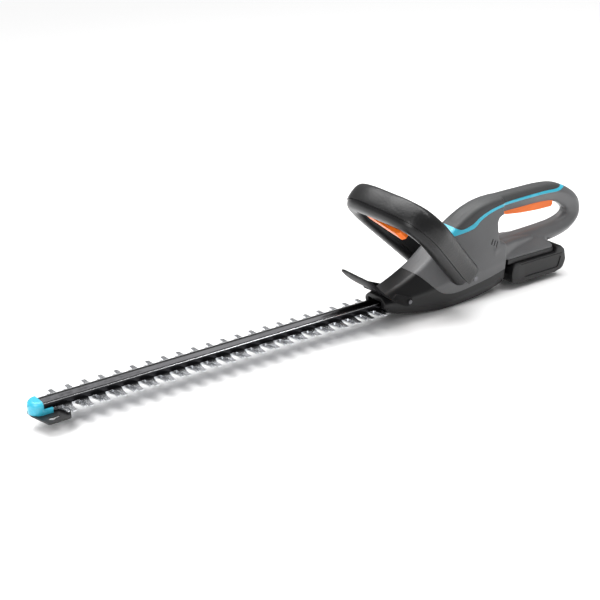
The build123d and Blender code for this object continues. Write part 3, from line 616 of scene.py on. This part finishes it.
ridge_angle = math.acos(-(((LOOP_MIDDLE_W - LOOP_RIDGE) / LOOP_HALF_W) ** (1 / SQUARENESS)))
rear_loop = loop_shell("loop_rear_skin", LOOP_HALF_W, 19.0, -ridge_angle, ridge_angle, 17, 0)
front_loop = loop_shell(
    "loop_front_skin", LOOP_HALF_W - 0.4, 17.2, ridge_angle + 0.02, 2 * math.pi - ridge_angle - 0.02, 15, 10
)
hull_stop = lofted("hull_stop", [hull_outline(rib) for rib in curve_through(HULL_RIBS, 6)])
lever_room = prism(
    "lever_room",
    [(-57, 153), (57, 153), (57, 193), (-57, 193)],
    lambda u, v: loop_place(u, v, -50),
    LOOP_BACK * 40,
)
for shell in (rear_loop, front_loop):
    carve(shell, hull_stop, keep_tool=True)
    carve(shell, lever_room, keep_tool=True)
bpy.data.objects.remove(hull_stop)
bpy.data.objects.remove(lever_room)
loop_textured = moulded_plastic("loop_textured", (0.009, 0.009, 0.0095), 0.34, grain=230, depth=1.0)
loop_smooth = moulded_plastic("loop_smooth", (0.006, 0.006, 0.0065), 0.34)
finished(rear_loop, "tool", "loop_black", loop_textured, "front_handle_rear_shell")
finished(front_loop, "tool", "loop_black", loop_smooth, "front_handle_front_shell")

# ---------------------------------------------------------------- levers
# The orange front lever and rear trigger are moulded in one bright plastic. The lever slides
# up into the loop's top bar and the trigger turns on a pin in the grip.


def eased(piece, width, segments=3, angle=35):
    """Rounds a piece's edges where they turn by more than the angle."""
    bevel = piece.modifiers.new("eased", "BEVEL")
    bevel.width = width * MM
    bevel.segments = segments
    bevel.limit_method = "ANGLE"
    bevel.angle_limit = math.radians(angle)
    bevel.harden_normals = False
    return piece


orange_plastic = moulded_plastic("orange_plastic", (0.84, 0.14, 0.005), 0.36, depth=0.05, spread=0.08)
for lever in ("front_switch_lever", "rear_trigger"):
    dress(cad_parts[lever], orange_plastic)
eased(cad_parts["rear_trigger"], 2.0)

# ---------------------------------------------------------------- cutter bar
# Two ground steel blades slide under an aluminium cover, its flat top painted darker, its shoulders painted
# bright as a highlight and its flanks painted black as shade. Countersunk screws hold the bar together from
# below.


def brushed_group():
    """Fine grinding lines across or along a piece, and a slow change of tone."""
    group = bpy.data.node_groups.new("brushed", "ShaderNodeTree")
    enter, leave = group_sockets(
        group,
        [("Along X", 3.0), ("Along Y", 60.0), ("Size", 24.0)],
        [("Lines", "NodeSocketFloat"), ("Tone", "NodeSocketFloat")],
    )
    place = group.nodes.new("ShaderNodeTexCoord")
    stretch = group.nodes.new("ShaderNodeVectorMath")
    stretch.operation = "MULTIPLY"
    factors = group.nodes.new("ShaderNodeCombineXYZ")
    factors.inputs["Z"].default_value = 60
    group.links.new(enter.outputs["Along X"], factors.inputs["X"])
    group.links.new(enter.outputs["Along Y"], factors.inputs["Y"])
    group.links.new(place.outputs["Object"], stretch.inputs[0])
    group.links.new(factors.outputs[0], stretch.inputs[1])
    lines = group.nodes.new("ShaderNodeTexNoise")
    lines.inputs["Detail"].default_value = 5
    group.links.new(stretch.outputs[0], lines.inputs["Vector"])
    group.links.new(enter.outputs["Size"], lines.inputs["Scale"])
    group.links.new(lines.outputs["Fac"], leave.inputs["Lines"])
    tone = group.nodes.new("ShaderNodeTexNoise")
    tone.inputs["Scale"].default_value = 18
    group.links.new(place.outputs["Object"], tone.inputs["Vector"])
    group.links.new(tone.outputs["Fac"], leave.inputs["Tone"])
    return group


BRUSHED = brushed_group()


def ground_metal(name, colour, roughness, along=(3.0, 60.0), lines=0.2, spread=0.25):
    """A ground or brushed metal."""
    material = bpy.data.materials.new(name)
    material.use_nodes = True
    tree = material.node_tree
    shader = tree.nodes["Principled BSDF"]
    shader.inputs["Metallic"].default_value = 1.0
    effect = tree.nodes.new("ShaderNodeGroup")
    effect.node_tree = BRUSHED
    effect.inputs["Along X"].default_value = along[0]
    effect.inputs["Along Y"].default_value = along[1]
    tones = tree.nodes.new("ShaderNodeMix")
    tones.data_type = "RGBA"
    tones.inputs["A"].default_value = (*[c * (1 - spread) for c in colour], 1)
    tones.inputs["B"].default_value = (*[min(1, c * (1 + spread)) for c in colour], 1)
    tree.links.new(effect.outputs["Lines"], tones.inputs["Factor"])
    tree.links.new(tones.outputs["Result"], shader.inputs["Base Color"])
    gloss = tree.nodes.new("ShaderNodeMapRange")
    gloss.inputs["To Min"].default_value = roughness - 0.08
    gloss.inputs["To Max"].default_value = roughness + 0.10
    tree.links.new(effect.outputs["Tone"], gloss.inputs["Value"])
    tree.links.new(gloss.outputs["Result"], shader.inputs["Roughness"])
    bump = tree.nodes.new("ShaderNodeBump")
    bump.inputs["Strength"].default_value = lines
    bump.inputs["Distance"].default_value = 0.0002
    tree.links.new(effect.outputs["Lines"], bump.inputs["Height"])
    tree.links.new(bump.outputs["Normal"], shader.inputs["Normal"])
    return material


TOOTH_COUNT = 22
TOOTH_PITCH = 27.0
FIRST_TOOTH_X = -497.0
CRANK_X = 160.0
STRIP_HALF = 15.0
STRIP_T = 2.0
SCREW_X = [-470 + 105 * n for n in range(6)]
SCREW_SLOT = (9.5, 2.6, 2.55)    # half length, half width and end radius
YOKE_OUT_X = 30.5
YOKE_OUT_Y = 23.1
GRIND_WIDTH = 0.75
REST_SHIFT = 3.4                 # at rest each blade stands this far from mid-stroke
FLARE = 2.2                      # how strongly a tooth widens towards its root
SHANK = 0.93                     # share of a tooth's reach below its round nose


def tooth_outline(root, tip, reach):
    """One tooth, from its root's one side to the other, with flared flanks and a round tip."""
    flank = [
        (root - (root - tip) * (1 - (1 - t) ** FLARE), reach * t * SHANK) for t in np.linspace(0, 1, 6)
    ]
    nose = [
        (tip * math.cos(a), reach * SHANK + reach * (1 - SHANK) * math.sin(a))
        for a in np.linspace(0.4, math.pi / 2, 4)
    ]
    side = [(-x, y) for x, y in flank + nose]
    return side + [(x, y) for x, y in (flank + nose)[-2::-1]]


def cutter_blade(name, shift, low_z, tip_y, root, tip, slot_shift):
    """A blade strip with teeth on both edges, its yoke for the cam and its screw slots."""
    tooth = tooth_outline(root, tip, tip_y - STRIP_HALF)
    centres = [FIRST_TOOTH_X + shift + n * TOOTH_PITCH for n in range(TOOTH_COUNT)]
    front_x = centres[0] - 22
    near = [(x + dx, -STRIP_HALF - dy) for x in centres for dx, dy in tooth]
    yoke_x = CRANK_X + slot_shift
    rear = [
        (yoke_x - YOKE_OUT_X, -STRIP_HALF), (yoke_x - YOKE_OUT_X, -YOKE_OUT_Y),
        (yoke_x + YOKE_OUT_X, -YOKE_OUT_Y), (yoke_x + YOKE_OUT_X, YOKE_OUT_Y),
        (yoke_x - YOKE_OUT_X, YOKE_OUT_Y), (yoke_x - YOKE_OUT_X, STRIP_HALF),
    ]
    far = [(x, -y) for x, y in near[::-1]]
    outline = [(front_x, -STRIP_HALF), *near, *rear, *far, (front_x, STRIP_HALF)]
    strip = prism(name, outline, lambda x, y: (x, y, low_z), (0, 0, STRIP_T))
    holes = [(yoke_x, YOKE_OUT_X - 6, YOKE_OUT_Y - 5.5, 4)]
    holes += [(x + slot_shift, *SCREW_SLOT) for x in SCREW_X]
    for middle, half_x, half_y, radius in holes:
        hole = flat_rounded(middle, half_x, half_y, 0, radius)
        carve(strip, prism("hole", hole, lambda x, y, z: (x, y, low_z - 2), (0, 0, STRIP_T + 4)))
    return apply_modifiers(eased(strip, GRIND_WIDTH, segments=1, angle=60))


blade_steel = ground_metal("blade_steel", (0.56, 0.57, 0.59), 0.24, along=(60.0, 3.0), spread=0.08)
bar_steel = ground_metal("bar_steel", (0.42, 0.43, 0.45), 0.35)
upper = cutter_blade(
    "upper_blade_ground", shift=0, low_z=28.1, tip_y=40.4, root=7.6, tip=3.6, slot_shift=REST_SHIFT
)
finished(upper, "upper_blade_body", "blade_steel", blade_steel, "upper_blade")
lower = cutter_blade(
    "lower_blade_ground", shift=-2 * REST_SHIFT, low_z=25.9, tip_y=33.0, root=7.2, tip=2.6,
    slot_shift=-REST_SHIFT,
)
finished(lower, "lower_blade_body", "blade_steel", blade_steel, "lower_blade")
dress(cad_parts["blade_support_bar"], bar_steel)
eased(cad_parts["blade_support_bar"], 0.4, segments=1)


def cover_painted_light():
    """The cover's metal with painted light, parted by slope: a darker top, shoulders painted bright as a
    highlight and flanks painted black as shade.
    """
    material = ground_metal("cover_painted_light", (0.80, 0.81, 0.83), 0.22, spread=0.08)
    tree = material.node_tree
    shader = tree.nodes["Principled BSDF"]
    brushed = shader.inputs["Base Color"].links[0].from_socket
    shape = tree.nodes.new("ShaderNodeNewGeometry")
    parts = tree.nodes.new("ShaderNodeSeparateXYZ")
    tree.links.new(shape.outputs["Normal"], parts.inputs[0])
    # painted shade: the steep flanks are painted near black
    flank_shade_mask = tree.nodes.new("ShaderNodeMapRange")
    flank_shade_mask.inputs["From Min"].default_value = 0.25
    flank_shade_mask.inputs["From Max"].default_value = 0.35
    tree.links.new(parts.outputs["Z"], flank_shade_mask.inputs["Value"])
    painted_flank_shade = tree.nodes.new("ShaderNodeMix")
    painted_flank_shade.data_type = "RGBA"
    painted_flank_shade.inputs["A"].default_value = (0.018, 0.018, 0.020, 1)
    tree.links.new(flank_shade_mask.outputs["Result"], painted_flank_shade.inputs["Factor"])
    # painted highlight: the sloping shoulders keep the bright metal colour, while the flat top is painted
    # dark
    level = tree.nodes.new("ShaderNodeMapRange")
    level.inputs["From Min"].default_value = 0.90
    level.inputs["From Max"].default_value = 0.95
    tree.links.new(parts.outputs["Z"], level.inputs["Value"])
    top = tree.nodes.new("ShaderNodeMix")
    top.data_type = "RGBA"
    top.inputs["B"].default_value = (0.035, 0.035, 0.037, 1)
    tree.links.new(level.outputs["Result"], top.inputs["Factor"])
    tree.links.new(brushed, top.inputs["A"])
    tree.links.new(top.outputs["Result"], painted_flank_shade.inputs["B"])
    tree.links.new(painted_flank_shade.outputs["Result"], shader.inputs["Base Color"])
    return material


cover = copy_of(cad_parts["blade_cover"], "blade_cover_bar")
COVER_REACH = 12.0    # the cover's end is drawn this much further into the cap
COVER_END_X = -520.0  # the points in front of this are the cover's end
for point in cover.data.vertices:
    if point.co.x < COVER_END_X * MM:
        point.co.x -= COVER_REACH * MM
# the cover carries painted highlight on its shoulders and painted shade on its top and flanks
finished(cover, "tool", "aluminium_bar", cover_painted_light(), "blade_cover")
dark_screw = ground_metal("dark_screw", (0.16, 0.16, 0.17), 0.38)
for node in ("bar_screws", "casing_screws", "handle_screws", "guard_screws", "tip_screw"):
    dress(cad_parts[node], dark_screw)
    eased(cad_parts[node], 0.35, segments=2)

# ---------------------------------------------------------------- tip
# A turquoise nose moulding plugs the end of the cover, with a low lip along each flank. Under
# it a black plate guards the first teeth and hangs the tool by its keyhole.
tip_cap = copy_of(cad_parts["tip_protector"], "tip_cap")
weld = tip_cap.modifiers.new("weld", "WELD")
weld.merge_threshold = 0.01 * MM
apply_modifiers(tip_cap)
carve(tip_cap, side_prism("cap_cut", [(-533, 31), (-510, 31), (-510, 60), (-533, 60)], 40))
apply_modifiers(eased(tip_cap, 0.8, angle=50))
finished(tip_cap, "tool", "tip_turquoise", turquoise, "tip_protector")
plate_black = moulded_plastic("plate_black", (0.008, 0.008, 0.0085), 0.36)
dress(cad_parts["tip_plate"], plate_black)
eased(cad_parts["tip_plate"], 0.5)

# ---------------------------------------------------------------- hand guard
# A smoked plastic shield, curved forward over the blade and screwed to both flanks of the
# nose through its side lugs.
guard_smoke = moulded_plastic(
    "guard_smoke", (0.005, 0.005, 0.0055), 0.50, grain=300, depth=0.01, gloss_level=0.1
)
GUARD_ROOT_HALF = 37.0
GUARD_SPREAD = 9.0      # the shield widens by this on each side
GUARD_ROUND = 13.0      # its top corners' rounding
GUARD_ROUND_FROM = 0.86
GUARD_HALF_T = 1.5
guard_line = curve_through([(98, 43.5), (84, 53), (68, 64), (52.5, 77), (38.5, 92.5)], 8)
guard_rings = []
for number, (x, z) in enumerate(guard_line):
    share = number / (len(guard_line) - 1)
    ahead = guard_line[min(number + 1, len(guard_line) - 1)] - guard_line[max(number - 1, 0)]
    ahead = ahead / np.linalg.norm(ahead)
    half = GUARD_ROOT_HALF + GUARD_SPREAD * math.sin(min(share * 1.35, 1) * math.pi / 2)
    corner = max(0, (share - GUARD_ROUND_FROM) / (1 - GUARD_ROUND_FROM))
    half -= GUARD_ROUND * (1 - math.sqrt(max(0, 1 - corner ** 2)))
    section = rounded_outline(
        [(-half, -GUARD_HALF_T), (half, -GUARD_HALF_T), (half, GUARD_HALF_T), (-half, GUARD_HALF_T)],
        [1.2] * 4, 3,
    )
    guard_rings.append([(x - ahead[1] * t, y, z + ahead[0] * t) for y, t in section])
guard = lofted("guard_shield", guard_rings)
LUG_HALF_T = 1.6
LUG_MIDDLE_Y = 36.2
lug = rounded_outline(
    [(82, 50), (93, 59), (127, 45), (129, 33), (116, 32), (96, 42)], [3, 3, 3, 6, 3, 3]
)
for side in (-1, 1):
    carve(guard, side_prism("lug", lug, LUG_HALF_T, side * LUG_MIDDLE_Y), "UNION")
finished(guard, "tool", "guard_smoke", guard_smoke, "hand_guard")

# ---------------------------------------------------------------- battery
# A black slide-on pack with rounded ends, a tongue along the top that hooks into the tool's
# rails, a release button behind and a recessed blank panel on each side.
case_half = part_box("battery_case")[1][1] / MM
case = side_prism(
    "battery_pack",
    rounded_outline(
        [(362, 13), (374, 10.2), (468, 10.2), (487, 15), (493.5, 30), (488.5, 51), (479, 59.5),
         (469, 59.5), (466, 49), (372, 49), (362, 45), (358.8, 30)],
        [7, 7, 10, 12, 14, 10, 5, 3, 2, 6, 8, 10],
    ),
    case_half,
)
apply_modifiers(eased(case, 5.5, segments=4, angle=60))
tongue = [
    (-23.7, 45), (23.7, 45), (23.7, 53.3), (26.7, 53.3), (26.7, 57.4), (-26.7, 57.4), (-26.7, 53.3),
    (-23.7, 53.3),
]
carve(case, prism("tongue", tongue, lambda y, z: (362, y, z), (108, 0, 0)), "UNION")
cell_room = flat_rounded(423, 58, 34.5, 0, 4)
carve(case, prism("cell_room", cell_room, lambda x, y, z: (x, y, 14), (0, 0, 32)))
contact_room = flat_rounded(371, 12, 16, 0, 0.5)
carve(case, prism("contact_room", contact_room, lambda x, y, z: (x, y, 50), (0, 0, 8)))
button_low, button_high = [Vector(c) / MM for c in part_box("release_button")]
BUTTON_TRAVEL = 3.0
SEAT_GAP = 0.5
seat_front = button_low.x - BUTTON_TRAVEL - SEAT_GAP
seat_half = (button_high.x + 8 - seat_front) / 2
seat = flat_rounded(seat_front + seat_half, seat_half, button_high.y + SEAT_GAP, 0, 1)
seat_height = button_high.z - button_low.z + 2 * SEAT_GAP
carve(case, prism("seat", seat, lambda x, y, z: (x, y, button_low.z - SEAT_GAP), (0, 0, seat_height)))
PANEL_DEPTH = 1.4
GROOVE_DEPTH = 1.0
panel = rounded_outline([(391, 19), (474, 19), (481, 41), (391, 41)], [3, 5, 5, 3])
groove = rounded_outline([(376, 44.5), (482, 44.5), (481, 46), (376, 46)], [0.7] * 4, 3)
for side in (-1, 1):
    carve(case, side_prism("panel", panel, PANEL_DEPTH, side * case_half))
    carve(case, side_prism("groove", groove, GROOVE_DEPTH, side * case_half))
battery_plastic = moulded_plastic("battery_plastic", (0.008, 0.008, 0.0085), 0.36)
finished(case, "battery", "battery_black", battery_plastic, "battery_case")
button_plastic = moulded_plastic("button_plastic", (0.014, 0.014, 0.015), 0.42)
dress(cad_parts["release_button"], button_plastic)

# ---------------------------------------------------------------- works
# What the casing hides: gears and shafts in steel, a cast frame, the motor, the boards and
# the contacts.
gear_steel = ground_metal("gear_steel", (0.42, 0.42, 0.43), 0.36)
cast_metal = ground_metal("cast_metal", (0.50, 0.51, 0.52), 0.52, along=(8.0, 8.0))
copper = ground_metal("copper", (0.72, 0.40, 0.20), 0.32)
board_green = moulded_plastic("board_green", (0.02, 0.14, 0.05), 0.4)
cell_sleeve = moulded_plastic("cell_sleeve", (0.05, 0.15, 0.38), 0.3)
WORKS = {
    gear_steel: (
        "gearbox_pillars", "crank_shaft", "drive_gear", "motor_pinion", "lower_cam",
        "upper_cam", "motor_magnets", "motor_shaft", "trigger_pin", "trigger_spring", "motor_can",
    ),
    cast_metal: ("gearbox_base", "gearbox_plate", "bar_spacers"),
    copper: ("lower_bush", "upper_bush", "motor_rotor", "tool_terminals", "battery_contacts"),
    board_green: ("circuit_board", "battery_board", "front_microswitch", "rear_microswitch"),
    cell_sleeve: ("battery_cells",),
    black_plastic: ("board_parts", "battery_rails", "terminal_block"),
}
for material, nodes in WORKS.items():
    for node in nodes:
        dress(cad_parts[node], material)
